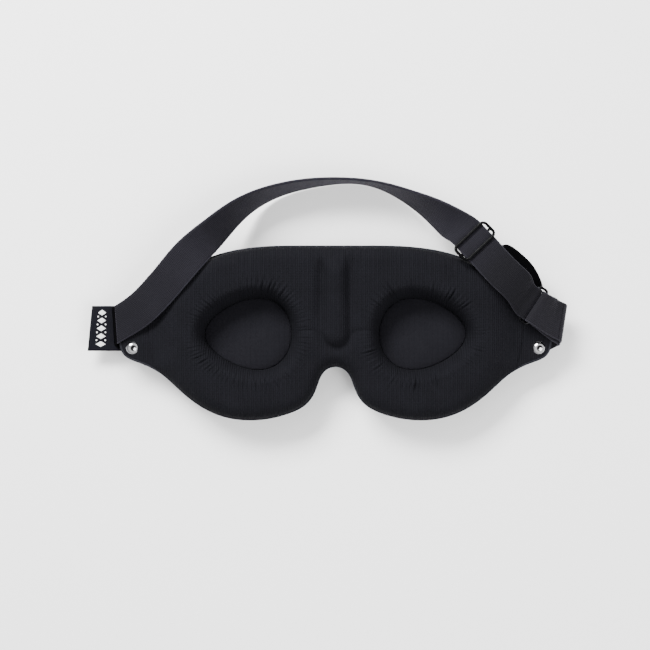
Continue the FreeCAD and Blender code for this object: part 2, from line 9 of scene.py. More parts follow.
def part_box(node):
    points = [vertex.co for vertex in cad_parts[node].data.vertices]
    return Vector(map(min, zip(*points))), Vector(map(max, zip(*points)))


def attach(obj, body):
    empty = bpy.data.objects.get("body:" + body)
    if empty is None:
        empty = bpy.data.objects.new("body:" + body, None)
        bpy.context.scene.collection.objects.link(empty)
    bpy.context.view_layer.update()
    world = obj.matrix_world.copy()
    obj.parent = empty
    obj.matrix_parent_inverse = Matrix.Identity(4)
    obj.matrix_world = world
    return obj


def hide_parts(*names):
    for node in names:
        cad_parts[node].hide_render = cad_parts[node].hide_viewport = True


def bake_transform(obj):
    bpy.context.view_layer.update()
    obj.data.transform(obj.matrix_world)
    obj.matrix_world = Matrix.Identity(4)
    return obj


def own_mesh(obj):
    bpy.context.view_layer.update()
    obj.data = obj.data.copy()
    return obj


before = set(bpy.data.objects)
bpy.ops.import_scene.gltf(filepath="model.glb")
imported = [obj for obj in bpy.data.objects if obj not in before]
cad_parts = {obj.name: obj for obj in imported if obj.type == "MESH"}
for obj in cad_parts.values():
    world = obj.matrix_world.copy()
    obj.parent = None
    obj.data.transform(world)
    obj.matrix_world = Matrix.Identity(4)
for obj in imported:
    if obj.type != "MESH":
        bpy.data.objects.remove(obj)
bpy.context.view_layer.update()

MM = 0.001
# The range of the random phases, in radians.
FULL_TURN = 6.28
RANDOM = np.random.default_rng(7)

# ---------------------------------------------------------------- places, from the frame
# Shapes are drawn in millimetres about the nose line and the eye line, as the mask is designed.

cover_low, cover_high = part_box("front_cover")
disc_low, disc_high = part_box("left_eye_disc")
pad_low, pad_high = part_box("foam_pad")
NOSE_X = (cover_low.x + cover_high.x) / 2
EYE_Y = (disc_low.y + disc_high.y) / 2


def place(x, y, z):
    """A point in the row's frame, from millimetres about the nose and eye lines."""
    return Vector((NOSE_X + x * MM, EYE_Y + y * MM, z * MM))


def in_mm(point):
    """The same point in millimetres about the nose and eye lines."""
    return Vector((point.x - NOSE_X, point.y - EYE_Y, point.z)) / MM


# The cover and the lining are both this thick.
FABRIC = 0.6
TAB_LOW = cover_high.z / MM - FABRIC
TAB_TOP = pad_low.z / MM + FABRIC
PAD_TOP = pad_high.z / MM + FABRIC
DISC_TOP = disc_high.z / MM
EYE_X = abs(in_mm((disc_low + disc_high) / 2).x)

# ---------------------------------------------------------------- outlines

EDGE_ABOVE = [(0, 49), (17, 49), (34, 48.8), (50, 47.4), (66, 43.8), (80, 37.6), (95, 28)]
TAB_END = [
    (109, 18.2),
    (117, 13.2),
    (119.3, 8),
    (119.5, 0.5),
    (119.3, -6.5),
    (117, -11.6),
    (109, -15.8),
]
EDGE_BELOW = [
    (96, -22.4),
    (85.7, -31.6),
    (74.5, -40.2),
    (62, -45.8),
    (48, -47.8),
    (34, -46.4),
    (24, -43.4),
    (17.5, -40),
    (12.6, -34.6),
    (9, -25.8),
    (5.5, -20.2),
    (0, -18.2),
]
# How far from the nose line the pad starts to slope down to a tab, and where it ends.
PAD_SLOPE = 84.0
PAD_END = 103.5
# An eye cup's half length and half height, and how much narrower its pointed end is.
EGG_LENGTH = 24.5
EGG_HEIGHT = 19.7
EGG_SKEW = 0.25
EGG_POINTS = 170


def smooth_curve(points, step, closed=False):
    """Points about step apart on a cubic spline through the given ones.  The first three numbers
    of a point are its place, and any others are carried along."""
    points = np.array(points, float)
    if closed:
        points = np.vstack([points[-3:], points, points[:4]])
    gaps = np.linalg.norm(np.diff(points[:, :3], axis=0), axis=1)
    knots = np.concatenate([[0], np.cumsum(gaps)])
    size = len(points)
    matrix = np.eye(size)
    right = np.zeros_like(points)
    for i in range(1, size - 1):
        matrix[i, i - 1 : i + 2] = gaps[i - 1], 2 * (gaps[i - 1] + gaps[i]), gaps[i]
        slope_after = (points[i + 1] - points[i]) / gaps[i]
        slope_before = (points[i] - points[i - 1]) / gaps[i - 1]
        right[i] = 6 * (slope_after - slope_before)
    bends = np.linalg.solve(matrix, right)
    start, stop = (3, size - 4) if closed else (0, size - 1)
    places = np.linspace(knots[start], knots[stop], int((knots[stop] - knots[start]) / step) + 2)
    if closed:
        places = places[:-1]
    found = []
    for place_along in places:
        i = min(max(np.searchsorted(knots, place_along) - 1, 0), size - 2)
        gap = gaps[i]
        a = (knots[i + 1] - place_along) / gap
        b = 1 - a
        bend = ((a**3 - a) * bends[i] + (b**3 - b) * bends[i + 1]) * gap**2 / 6
        found.append(a * points[i] + b * points[i + 1] + bend)
    return np.array(found)


def mask_outline(step):
    """The mask's outline, clockwise, with points about step apart."""
    half = EDGE_ABOVE + TAB_END + EDGE_BELOW
    whole = half + [(-x, y) for x, y in reversed(half[1:-1])]
    return smooth_curve([(x, y, 0) for x, y in whole], step, closed=True)[:, :2]


def egg_outline(side, grow, count=EGG_POINTS):
    """An eye cup's outline on one side of the nose, grown outwards."""
    turn = np.linspace(0, 2 * math.pi, count, endpoint=False)
    x = side * (EYE_X - (EGG_LENGTH + grow) * np.cos(turn))
    y = (EGG_HEIGHT + grow) * np.sin(turn) * (1 + EGG_SKEW * np.cos(turn))
    return np.column_stack([x, y])


def distance_to(loop, points):
    """The distance from each point to a closed loop, positive inside."""
    ends = np.roll(loop, -1, axis=0)
    spans = ends - loop
    best = np.full(len(points), 1e9)
    crossings = np.zeros(len(points), int)
    for start, end, span in zip(loop, ends, spans):
        offset = points - start
        share = np.clip(offset @ span / (span @ span), 0, 1)
        gap = offset - share[:, None] * span
        best = np.minimum(best, (gap**2).sum(axis=1))
        above = (start[1] > points[:, 1]) != (end[1] > points[:, 1])
        if above.any():
            meet = start[0] + (points[above, 1] - start[1]) / (end[1] - start[1]) * span[0]
            crossings[above] += points[above, 0] < meet
    return np.sqrt(best) * np.where(crossings % 2, 1, -1)


def offset_loop(loop, amount):
    """A clockwise loop moved inwards."""
    along = np.roll(loop, -1, axis=0) - np.roll(loop, 1, axis=0)
    along /= np.linalg.norm(along, axis=1)[:, None]
    return loop + np.column_stack([along[:, 1], -along[:, 0]]) * amount


# ---------------------------------------------------------------- meshes


def add_mesh(name, vertices, faces, uv=None):
    """A smooth-shaded piece, from vertices in the row's frame.  uv holds a place for each vertex."""
    mesh = bpy.data.meshes.new(name)
    mesh.from_pydata([tuple(v) for v in vertices], [], [tuple(int(i) for i in f) for f in faces])
    mesh.validate()
    for polygon in mesh.polygons:
        polygon.use_smooth = True
    if uv is not None:
        layer = mesh.uv_layers.new(name="weave")
        for loop in mesh.loops:
            layer.data[loop.index].uv = uv[loop.vertex_index]
    piece = bpy.data.objects.new(name, mesh)
    bpy.context.scene.collection.objects.link(piece)
    return piece


def in_row(points):
    """An array of points in millimetres, in the row's frame."""
    return np.asarray(points, float) * MM + np.array([NOSE_X, EYE_Y, 0])


def filled(points, keep):
    """Delaunay triangles between flat points, without those whose middles keep turns down."""
    flat, _, triangles, _, _, _ = delaunay_2d_cdt([Vector(p) for p in points], [], [], 0, 1e-6)
    flat = np.array([tuple(p) for p in flat])
    triangles = np.array(triangles)
    middles = flat[triangles].mean(axis=1)
    return flat, triangles[keep(middles)]


def hexagon_grid(spacing, half_x, half_y):
    """Points spacing apart in staggered rows."""
    rows = np.arange(-half_y, half_y, spacing * 0.866)
    columns = np.arange(-half_x, half_x, spacing)
    grid = [(x + spacing / 2 * (i % 2), y) for i, y in enumerate(rows) for x in columns]
    return np.array(grid)


def rounded(share, power):
    """0 at the edge, rising steeply, and level at 1 once share reaches 1."""
    share = np.clip(share, 0, 1)
    return (1 - (1 - share) ** power) ** (1 / power)


def eased(value, low, high):
    """0 up to low, 1 from high on, and smooth between."""
    share = np.clip((value - low) / (high - low), 0, 1)
    return share * share * (3 - 2 * share)


def bump(value, middle, spread):
    """1 at the middle, fading on both sides over the spread."""
    return np.exp(-(((value - middle) / spread) ** 2))


OUTLINE = mask_outline(0.9)
# A grid reaches this far on each side of the nose line and the eye line.
GRID_X = 121
GRID_Y = 50
EGGS = {side: egg_outline(side, 0.0) for side in (-1, 1)}

# ---------------------------------------------------------------- face lining

# The width of the rounding at the mask's rim, how much wider it is towards the tabs, and the width
# at the tabs themselves.
RIM_WIDTH = 8.0
RIM_SPREAD = 7.0
TAB_RIM = 1.0
CUP_WIDTH = 7.6
# The lining starts this far in from the cover's edge, and tucks this far under each disc's edge.
LINING_INSET = 0.9
LINING_TUCK = 0.3
RIDGE_TOP = 42.0
RIDGE_FOOT = -6.8
RIDGE_HALF = 7.3
RIDGE_RISE = 3.2
VALLEY_DEPTH = 2.0
VALLEY_WIDTH = 3.1
PUCKER = 0.72
# Gathers round a cup: how many there are of each kind, and its share of their height.
PUCKER_WAVES = ((53, 0.3), (71, 0.5), (89, 0.55), (107, 0.5))
EDGE_GATHER = 0.24
STEP_RISE = 0.6


def ridge_height(x, y):
    """The bead down the nose line, its side valleys and its rounded foot."""
    half = RIDGE_HALF - 0.8 * eased(y, 0, RIDGE_TOP)
    fade = 1 - eased(y, RIDGE_TOP - 9, RIDGE_TOP + 4)
    reach = np.hypot(x, np.minimum(y - RIDGE_FOOT - half, 0))
    bead = RIDGE_RISE * np.clip(1 - (reach / half) ** 2, 0, 1) ** 0.7
    depth = VALLEY_DEPTH * (0.5 + 0.5 * eased(y, 2, 24))
    return (bead - depth * bump(reach, half + 1.0, VALLEY_WIDTH)) * fade


def nose_folds(x, y):
    """Two soft arched folds between the bead's foot and the eyes."""
    reach = np.hypot((np.abs(x) - 15.5) / 1.15, y + 6.5)
    arch = bump(reach, 8.5, 1.3) * eased(y, -6, 1)
    cushion = np.clip(1 - (reach / 8.5) ** 2, 0, 1)
    return 0.5 * cushion - 0.55 * arch


def puckers(x, y, gap):
    """Short gathers that run out from each eye cup."""
    total = np.zeros_like(x)
    for side in (-1, 1):
        angle = np.arctan2(y / EGG_HEIGHT, (x - side * EYE_X) / EGG_LENGTH)
        wave = np.zeros_like(x)
        for count, share in PUCKER_WAVES:
            wave += share * np.sin(count * angle + RANDOM.uniform(0, FULL_TURN))
        patchy = 0.65 + 0.35 * np.sin(5 * angle + RANDOM.uniform(0, FULL_TURN))
        strength = (0.35 + 0.65 * np.abs(np.sin(angle))) * patchy
        near = bump(gap[side], 6.0, 4.8) * (np.sign(x) == side)
        total += PUCKER * wave * strength * near
    return total


def step_line(y):
    """Where the pad ends towards a tab."""
    return PAD_END - 0.0083 * (y - 3.5) ** 2


def edge_gathers(x, y, edge):
    """Small upright gathers under the forehead edge, and fainter ones along the cheek edge."""
    wave = np.sin(x / 0.62 + 1.3 * np.sin(x / 4.7)) + 0.7 * np.sin(x / 0.41 + 2.1 * np.sin(x / 6.1))
    reach = eased(edge, 1.2, 3.5) * (1 - eased(edge, 6, 15))
    return EDGE_GATHER * wave * reach * (0.35 + 0.65 * (y > 10)) * (0.6 + 0.4 * np.sin(x / 8.3 + 1))


def lining_heights(x, y, edge, gap):
    """The lining's height at each point, from its distances to the rim and to each eye cup."""
    ends = eased(np.abs(x), PAD_SLOPE, PAD_END)
    rise = (PAD_TOP - TAB_TOP) * (1 - ends) + STEP_RISE * eased(step_line(y) - np.abs(x), -0.3, 0.6)
    rim = (RIM_WIDTH + RIM_SPREAD * eased(np.abs(x), 62, 90)) * (1 - ends) + TAB_RIM * ends
    height = TAB_TOP - 0.5 + 0.5 * rounded(edge / 0.8, 2.0) + rise * rounded(edge / rim, 2.3)
    nearest = np.minimum(gap[-1], gap[1])
    plump = 0.5 * np.sin(np.clip(edge / 26, 0, 1) * math.pi) * (1 - ends)
    height += plump + ridge_height(x, y) * eased(edge, 1, 7) + nose_folds(x, y) * eased(edge, 2, 9)
    height += puckers(x, y, gap) * eased(edge, 1, 6) + edge_gathers(x, y, edge) * (1 - ends)
    height += 0.12 * np.sin(x / 7.3 + 1.1 * np.sin(y / 9.1)) * np.sin(y / 6.1) * eased(edge, 2, 8)
    floor = DISC_TOP - 0.9
    return floor + (height - floor) * rounded((nearest + LINING_TUCK) / CUP_WIDTH, 1.9)


def face_lining():
    """The face fabric over the pad, the cups and the nose bead, finer where it curves most."""
    rings = [offset_loop(OUTLINE, d) for d in (LINING_INSET, 1.05, 1.35, 1.8, 2.4)]
    for side in EGGS:
        for grow in (-LINING_TUCK, -0.15, 0.05, 0.4, 0.9, 1.5):
            rings.append(egg_outline(side, grow))
    for side in (-1, 1):
        for offset in (-0.5, -0.1, 0.3, 0.8):
            y = np.arange(-18.0, 24.0, 0.8)
            rings.append(np.column_stack([side * (step_line(y) - offset), y]))
    fine = hexagon_grid(0.66, GRID_X, GRID_Y)
    coarse = hexagon_grid(1.0, GRID_X, GRID_Y)
    picked = []
    for grid, near, far in ((fine, 0.0, 11.0), (coarse, 11.0, 99.0)):
        edge = distance_to(OUTLINE, grid)
        cup = -np.maximum(distance_to(EGGS[-1], grid), distance_to(EGGS[1], grid))
        step_gap = np.abs(np.abs(grid[:, 0]) - step_line(grid[:, 1]) + 0.15) - 1.1
        close = np.minimum(np.minimum(edge - 2.9, cup - 2.0), step_gap)
        picked.append(grid[(close > 0.05) & (cup > near) & (cup <= far)])
    inner_rim = offset_loop(OUTLINE, LINING_INSET)

    def keep(middles):
        inside = distance_to(inner_rim, middles) > 0
        for side in (-1, 1):
            inside &= distance_to(egg_outline(side, -LINING_TUCK), middles) < 0
        return inside

    flat, triangles = filled(np.vstack(rings + picked), keep)
    x, y = flat.T
    edge = np.maximum(distance_to(inner_rim, flat), 0)
    gap = {side: np.maximum(-distance_to(egg, flat), -LINING_TUCK) for side, egg in EGGS.items()}
    points = np.column_stack([x, y, lining_heights(x, y, edge, gap)])
    return add_mesh("face_lining_skin", in_row(points), triangles, uv=flat * MM)


# ---------------------------------------------------------------- front cover

DOME_GROW = 9.0
# The dome's lowest point is just above the surface that the mask lies on.
LOWEST = 0.02


def dome_depth(x, y):
    """How far the cover bulges below its flange, in front of each eye."""
    length = EGG_LENGTH + DOME_GROW
    height = EGG_HEIGHT + DOME_GROW
    u = (EYE_X - np.abs(x)) / length
    v = y / (height * (1 + EGG_SKEW * np.clip(u, -1, 1)))
    middle = np.clip(1 - (u**2 + v**2) ** 1.15, 0, 1)
    return TAB_LOW * np.minimum(1.12 * middle**1.25, 1 - 0.06 * (1 - middle))


def front_cover():
    """The front fabric as one closed skin: the domed front, the rounded rim and the lip that shows
    beyond the lining."""
    grid = hexagon_grid(1.5, GRID_X, GRID_Y)
    grid = grid[distance_to(OUTLINE, grid) > 2.2]
    inner = offset_loop(OUTLINE, 1.0)
    flat, triangles = filled(np.vstack([inner, grid]), lambda middles: distance_to(inner, middles) > 0)
    under = TAB_LOW - dome_depth(*flat.T) - 0.06 * np.sin(flat[:, 0] / 5) * np.sin(flat[:, 1] / 6.3)
    vertices = [np.column_stack([flat, np.maximum(under, LOWEST)])]
    faces = [tuple(t[::-1]) for t in triangles]
    size = len(inner)
    # The rim goes round from the underside to the lip on the face side: inset and height.
    rows = [(0.5, TAB_LOW + 0.05), (0.12, TAB_LOW + 0.4), (0.0, TAB_LOW + 1.1), (0.0, TAB_TOP - 1.1)]
    rows += [(0.12, TAB_TOP - 0.45), (0.4, TAB_TOP - 0.12), (0.8, TAB_TOP - 0.05)]
    rows += [(1.3, TAB_TOP - 0.25), (2.4, TAB_TOP - FABRIC)]
    row_start = [None] + [len(flat) + i * size for i in range(len(rows))]
    joined = [int(np.argmin(((flat - p) ** 2).sum(axis=1))) for p in inner]
    for offset, height in rows:
        ring = offset_loop(OUTLINE, offset)
        vertices.append(np.column_stack([ring, np.full(size, height)]))
    for k in range(len(rows)):
        for i in range(size):
            j = (i + 1) % size
            below = (joined[i], joined[j]) if k == 0 else (row_start[k] + i, row_start[k] + j)
            faces.append((below[0], row_start[k + 1] + i, row_start[k + 1] + j, below[1]))
    points = np.vstack(vertices)
    return add_mesh("front_cover_skin", in_row(points), faces, uv=points[:, :2] * MM)


# ---------------------------------------------------------------- eye discs


def eye_disc(side):
    """The smooth floor of a cup: a flat, slightly crowned disc with a rolled edge."""
    # Rows from the rolled edge inwards: growth of the outline, and rise above the disc's top.
    rows = [(-0.15, -1.2), (-0.1, -0.7), (-0.3, -0.3), (-0.7, -0.08), (-1.4, 0.0)]
    rows += [(-1.4 - 2.2 * i, 0.05 * (1 - 0.7**i)) for i in range(1, 9)]
    count = 120
    vertices = []
    faces = []
    for grow, rise in rows:
        ring = egg_outline(side, grow, count)
        ripple = 0.04 * np.sin(ring[:, 0] / 3.1) * np.sin(ring[:, 1] / 2.7) if grow < -2 else 0
        vertices.append(np.column_stack([ring, np.full(count, DISC_TOP + rise) + ripple]))
    for k in range(len(rows) - 1):
        for i in range(count):
            j = (i + 1) % count
            faces.append((k * count + i, k * count + j, (k + 1) * count + j, (k + 1) * count + i))
    faces.append(tuple(range((len(rows) - 1) * count, len(rows) * count)))
    points = np.vstack(vertices)
    name = "left_disc_skin" if side < 0 else "right_disc_skin"
    return add_mesh(name, in_row(points), faces, uv=points[:, :2] * MM)


# ---------------------------------------------------------------- strap

WIDTH = 19.0
THICK = 1.4
# The strap leaves a tab at a slant, so it is wider along the fold.
FOLD_WIDTH = 21.0
STRAP_GAP = 0.1
# Middle of the main strap from the left fold to the slider: x, y, z and tilt in degrees.
MAIN_STRAP = [
    (-113.5, 9.6, 14.1, 0),
    (-107, 14.1, 16.3, 0),
    (-100, 20.5, 19.4, 0),
    (-92.2, 29.1, 20.9, 0),
    (-79.1, 44.4, 20.7, 8),
    (-67.2, 55.8, 18.2, 35),
    (-56, 66.3, 14.8, 53),
    (-44.1, 74.4, 11.6, 66),
    (-31.6, 79.6, 10.3, 74),
    (-16, 83.2, 10, 80),
    (0, 84.8, 10, 86),
    (16, 84.2, 10, 88),
    (29.2, 80.8, 10.2, 82),
    (41.9, 75, 11.3, 70),
    (54, 67.9, 13.8, 50),
    (64, 60.8, 16.6, 25),
]
# Middle of the lower layer, from the sewn end to the ring.
RETURN_STRAP = [
    (89.2, 41, 18.5, 0),
    (97.4, 35.6, 18.9, -5),
    (103, 28.9, 17.7, -8),
    (105.2, 22.9, 15.9, -8),
]
SLIDER = Vector((76.3, 50.7, 19.9))
RUN_HEADING = math.radians(-46.5)
RUN_CLIMB = math.radians(11.5)
RUN_BEFORE = 8.0
RING = Vector((108.6, 15.8, 18.0))
RING_HEADING = math.radians(-33.0)
RING_PITCH = 5.6
RING_WIRE = 0.7
RING_PLAY = 0.5
RING_TURN = RING_WIRE + RING_PLAY + THICK / 2
# The two turns of strap lie this far off their bars, towards each other.
TURN_SHIFT = 0.22
SLIDER_WIRE = 0.8
SLIDER_PLAY = 0.15
SEWN_TURN = SLIDER_WIRE + STRAP_GAP + THICK / 2
SEWN_LENGTH = 9.0
SEAM = 0.05
BAR_DROP = THICK / 2 + SLIDER_PLAY + SLIDER_WIRE + THICK + 2 * STRAP_GAP
UP = Vector((0, 0, 1))

run = Vector((math.cos(RUN_HEADING), math.sin(RUN_HEADING), 0)) * math.cos(RUN_CLIMB)
run.z = math.sin(RUN_CLIMB)
run_across = UP.cross(run).normalized()
run_up = run.cross(run_across)
ring_along = Vector((math.cos(RING_HEADING), math.sin(RING_HEADING), 0))
ring_across = UP.cross(ring_along)
strap_bar = RING - ring_along * (RING_PITCH / 2)
short_bar = RING + ring_along * (RING_PITCH / 2)
run_start = SLIDER - run * RUN_BEFORE
middle_bar = SLIDER - run_up * BAR_DROP
lower_end = middle_bar - run_up * SEWN_TURN + run * SEWN_LENGTH
above_tab = TAB_TOP + STRAP_GAP + THICK / 2
below_tab = TAB_LOW - STRAP_GAP - THICK / 2
layer = THICK + STRAP_GAP


def tilted(stations):
    """Stations with the strap's width as a vector, from x, y, z and tilt."""
    middles = [Vector(s[:3]) for s in stations]
    found = []
    for i, (x, y, z, tilt) in enumerate(stations):
        along = (middles[min(i + 1, len(middles) - 1)] - middles[max(i - 1, 0)]).normalized()
        level = UP.cross(along).normalized()
        rising = along.cross(level)
        angle = math.radians(tilt)
        across = (level * math.cos(angle) + rising * math.sin(angle)) * WIDTH
        found.append((middles[i], across))
    return found


def half_turn(centre, outwards, start_up, radius, across, count=7):
    """Stations round half a circle, from centre + start_up through the outwards side."""
    found = []
    for i in range(count):
        angle = math.pi * i / (count - 1)
        middle = centre + (start_up * math.cos(angle) + outwards * math.sin(angle)) * radius
        found.append((middle, across))
    return found


class Fold:
    """A flat fold round a tab's end.  inward points along x from the fold to the tab's middle, and
    slope is how far the strap moves up the tab for each step inward.  Below, it moves down as far.
    line is the slant of the fold itself, high and low are the strap's heights above and below the
    tab, and bend is how far the fold stands out."""

    def __init__(self, x, y, inward, slope, line, high, low, bend):
        self.x, self.y, self.inward, self.slope = x, y, inward, slope
        self.across = Vector((line, 1, 0)).normalized() * FOLD_WIDTH
        self.high, self.low, self.bend = high, low, bend

    def turn(self, angle):
        """A station on the fold: 0 is under the tab, 90 outermost and 180 above the tab."""
        turned = math.radians(angle)
        x = self.x - self.inward * self.bend * math.sin(turned)
        y = self.y + self.slope * self.bend * (turned - math.pi / 2)
        z = (self.high + self.low) / 2 - (self.high - self.low) / 2 * math.cos(turned)
        return Vector((x, y, z)), self.across

    def inside(self, reach):
        """A station above the tab, on the strap's own line, so far in from the fold."""
        middle, across = self.turn(180)
        return middle + Vector((self.inward * reach, self.slope * reach, 0)), across

    def under(self, reach):
        """A station below the tab, so far in from the fold."""
        middle, across = self.turn(0)
        return middle + Vector((self.inward * reach, -self.slope * reach, 0)), across


LEFT_FOLD = Fold(-121.1, 3.9, 1, 0.66, -0.066, above_tab, below_tab, 1.2)
RIGHT_FOLDS = {
    "inner": Fold(124.0, 4.1, -1, 0.5, 0.12, above_tab, below_tab, 0.7),
    "outer": Fold(124.0, 5.6, -1, 0.46, 0.155, above_tab + layer, below_tab - layer, 1.9),
}

# How much thicker the strap is along its middle, each side.
CROWN = 0.03 * THICK
EDGE_STEPS = 6
FLAT_STEPS = 12


def section(width):
    """The strap's cross-section: places across and up, crowned, with two rounded edges."""
    edge = THICK / 2
    roll = edge * 0.7
    flat = width / 2 - roll
    shape = []
    for i in range(EDGE_STEPS + 1):
        angle = math.pi * (i / EDGE_STEPS - 0.5)
        shape.append((flat + roll * math.cos(angle), edge * math.sin(angle)))
    for i in range(1, FLAT_STEPS):
        share = 1 - 2 * i / FLAT_STEPS
        shape.append((share * flat, edge + CROWN * (1 - share**2)))
    return shape + [(-x, -z) for x, z in shape]


def band(name, stations, step=0.9):
    """A stretch of elastic through stations (middle, width vector), with the weave laid along it."""
    rows = smooth_curve([(*middle, *across) for middle, across in stations], step)
    middles, widths = rows[:, :3], rows[:, 3:]
    along = np.gradient(middles, axis=0)
    along /= np.linalg.norm(along, axis=1)[:, None]
    lengths = np.concatenate([[0], np.cumsum(np.linalg.norm(np.diff(middles, axis=0), axis=1))])
    vertices = []
    weave = []
    for middle, across, forward, length in zip(middles, widths, along, lengths):
        width = np.linalg.norm(across)
        side = across / width
        rise = np.cross(forward, side)
        rise /= np.linalg.norm(rise)
        for a, b in section(width):
            vertices.append(middle + side * a + rise * b)
            weave.append((length * MM, a * MM * WIDTH / width))
    ring = len(section(WIDTH))
    faces = []
    for k in range(len(middles) - 1):
        for i in range(ring):
            j = (i + 1) % ring
            faces.append((k * ring + i, (k + 1) * ring + i, (k + 1) * ring + j, k * ring + j))
    faces.append(tuple(range(ring)))
    faces.append(tuple(reversed(range((len(middles) - 1) * ring, len(middles) * ring))))
    return add_mesh(name, in_row(vertices), faces, uv=weave)


# How far the strap arches over its bend down to the ring.
ABOVE_BEND = Vector((0.3, 0.4, 1.3))
# Beyond the slider the strap sags a little to one side: how far along, and by how much.
SAG = ((14.0, 0.5), (21.0, 0.7), (27.5, 0.6))
# The short strap runs straight for this far from its folds, and is level this far from its bar.
STRAIGHT = 1.5
LEVEL = 1.0
# How far a strap's end reaches back under its tab.
END_REACH = 15.0


def main_strap():
    """From the left fold to the slider, over its middle bar, along to the ring and round it."""
    fold_end, fold_across = LEFT_FOLD.turn(180)
    stations = tilted([(*fold_end, 0)] + MAIN_STRAP + [(*run_start, 0)])[:-1]
    stations[0] = (fold_end, fold_across)
    for reach in (0.0, 5.0, 12.0):
        stations.append((run_start + run * reach, run_across * WIDTH))
    for reach, sag in SAG:
        run_end = SLIDER + run * reach - run_across * sag
        stations.append((run_end, run_across * WIDTH))
    lift = UP * RING_TURN
    middle = (run_end + strap_bar + lift) / 2 + ABOVE_BEND
    stations.append((middle, (run_across + ring_across).normalized() * WIDTH))
    stations.append((strap_bar + lift - ring_along * 1.2, ring_across * WIDTH))
    turn_middle = strap_bar + ring_along * TURN_SHIFT
    stations += half_turn(turn_middle, ring_along, UP, RING_TURN, ring_across * WIDTH)
    return band("main_elastic", stations)


def strap_return():
    """The lower layer, from the ring back to the sewn end."""
    stations = tilted([(*lower_end, 0)] + RETURN_STRAP + [(*(strap_bar - UP * RING_TURN), 0)])
    stations[0] = (lower_end, run_across * WIDTH)
    stations.insert(1, (lower_end + run, run_across * WIDTH))
    stations[-1] = (stations[-1][0], ring_across * WIDTH)
    return band("return_elastic", stations)


def sewn_end():
    """The end of the elastic, folded round the slider's middle bar and stitched to itself."""
    across = run_across * WIDTH
    tail = lower_end + run_up * (THICK + SEAM) - run
    stations = [
        (tail, across),
        (tail - run * 2.5, across),
        (middle_bar + run_up * SEWN_TURN + run * 2.0, across),
    ]
    stations += half_turn(middle_bar, -run, run_up, SEWN_TURN, across)
    stations += [(lower_end - run * 5, across), (lower_end, across)]
    return band("sewn_elastic", stations, step=0.5)


def strap_end(name, fold):
    """A strap's end: slanting from its rivet under the tab, and round the tab's end to the top."""
    stations = [fold.under(reach) for reach in (END_REACH, END_REACH / 2 + 0.5, STRAIGHT)]
    stations += [fold.turn(angle) for angle in range(0, 181, 20)]
    return band(name, stations, step=0.5)


def short_strap():
    """The doubled strap from the right fold to the ring and back."""
    lift = UP * RING_TURN
    across = ring_across * WIDTH
    outer, inner = RIGHT_FOLDS["outer"], RIGHT_FOLDS["inner"]
    above, below = short_bar + lift, short_bar - lift
    stations = [outer.turn(180), outer.inside(STRAIGHT)]
    stations += [half_way_to(outer.inside(STRAIGHT), above + ring_along * STRAIGHT)]
    stations += [(above + ring_along * LEVEL, across)]
    stations += half_turn(short_bar - ring_along * TURN_SHIFT, -ring_along, UP, RING_TURN, across)
    stations += [(below + ring_along * LEVEL, across)]
    stations += [half_way_to(inner.inside(STRAIGHT), below + ring_along * STRAIGHT)]
    stations += [inner.inside(STRAIGHT), inner.turn(180)]
    return band("short_elastic_loop", stations, step=0.6)


def half_way_to(fold_station, ring_end):
    """A station between a fold and the ring, as wide and as turned as halfway."""
    middle, across = fold_station
    mixed = (across.normalized() + ring_across).normalized() * (WIDTH + across.length) / 2
    return (middle + ring_end) / 2, mixed


# ---------------------------------------------------------------- label

label_low, label_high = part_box("side_label")
_, root_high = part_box("label_root")
LABEL_THICK = (label_high.z - label_low.z) / MM
LABEL_MIDDLE_Y = 3.1
LEAN = 0.1


def freedom(x):
    """0 where the label is held by the tab, and 1 at its free end."""
    return eased(-x, 124, 136)


def lean(x, y):
    """The free end hangs a little askew."""
    return LEAN * (y - LABEL_MIDDLE_Y) * freedom(x)


def label_wave(x, y):
    """How the label's free end buckles."""
    free = freedom(x)
    return (0.22 * math.sin(y / 4.1) + 0.1 * math.sin(x / 1.9 + y / 6)) * free


def label():
    """A folded satin label: two layers that meet in a soft fold at the free end."""
    low = in_mm(label_low)
    high = in_mm(label_high)
    root = in_mm(root_high)
    columns = 46
    rows = 42
    half = LABEL_THICK / 2
    vertices = []
    weave = []
    for face in (1, -1):
        for i in range(columns + 1):
            x = low.x + (root.x - low.x) * i / columns
            closing = rounded(np.array([(x - low.x) / 1.6]), 2.0)[0]
            for j in range(rows + 1):
                y = low.y + (high.y - low.y) * j / rows
                edge = rounded(np.array([min(j, rows - j) / 1.5]), 2.0)[0]
                z = low.z + half + label_wave(x, y) + face * half * max(closing * edge, 0.12)
                vertices.append((x + lean(x, y), y, z))
                weave.append((x * MM, y * MM))
    size = (columns + 1) * (rows + 1)
    faces = []
    for side in (0, 1):
        for i in range(columns):
            for j in range(rows):
                a = side * size + i * (rows + 1) + j
                quad = (a, a + rows + 1, a + rows + 2, a + 1)
                faces.append(quad if side == 0 else quad[::-1])
    border = [i * (rows + 1) for i in range(columns + 1)]
    border += [columns * (rows + 1) + j for j in range(1, rows + 1)]
    border += [i * (rows + 1) + rows for i in range(columns - 1, -1, -1)]
    border += [j for j in range(rows - 1, 0, -1)]
    for a, b in zip(border, border[1:] + border[:1]):
        faces.append((a, size + a, size + b, b))
    return add_mesh("satin_label", in_row(vertices), faces, uv=weave)


MOTIF_INSET = 6.5
MOTIF_MARGIN = 1.6


